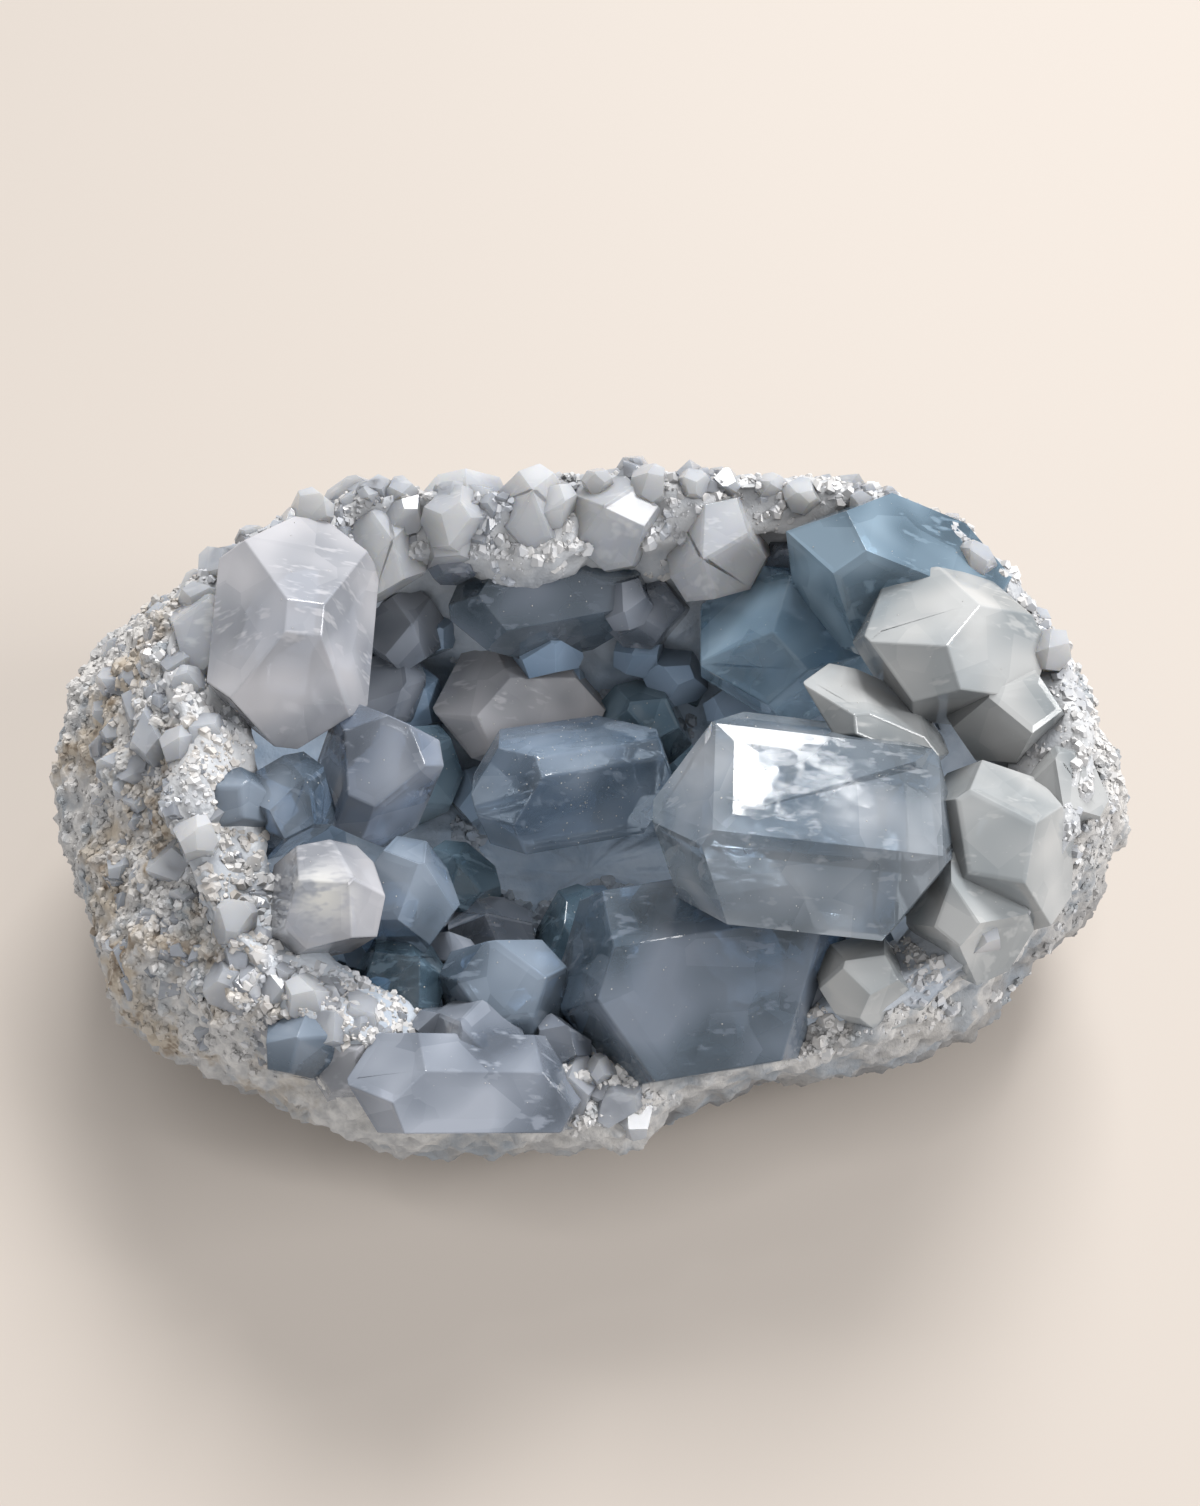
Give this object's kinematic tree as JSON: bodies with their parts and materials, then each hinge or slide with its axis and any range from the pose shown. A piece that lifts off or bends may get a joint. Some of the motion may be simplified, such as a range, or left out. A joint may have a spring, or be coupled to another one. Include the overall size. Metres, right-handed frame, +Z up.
{
  "type": "celestite geode",
  "caption": "Open mineral geode that rests on a small flat spot: a thick pale rind whose hollow is lined with coarse blue-grey crystals that rise over its edge.",
  "frame": {"origin": "centre of the flat resting spot, on the surface that the geode stands on", "axes": "+X along the stone's length, +Y towards the high side of the hollow's edge, +Z up"},
  "size_m": [0.0964, 0.0606, 0.0408],
  "materials": {
    "rind": "rough and sugary, with ochre stains",
    "crystals": "clear to milky, with bright flat faces"
  },
  "bodies": {
    "root": {"rind": "rind", "crystals": "crystals"}
  },
  "joints": []
}
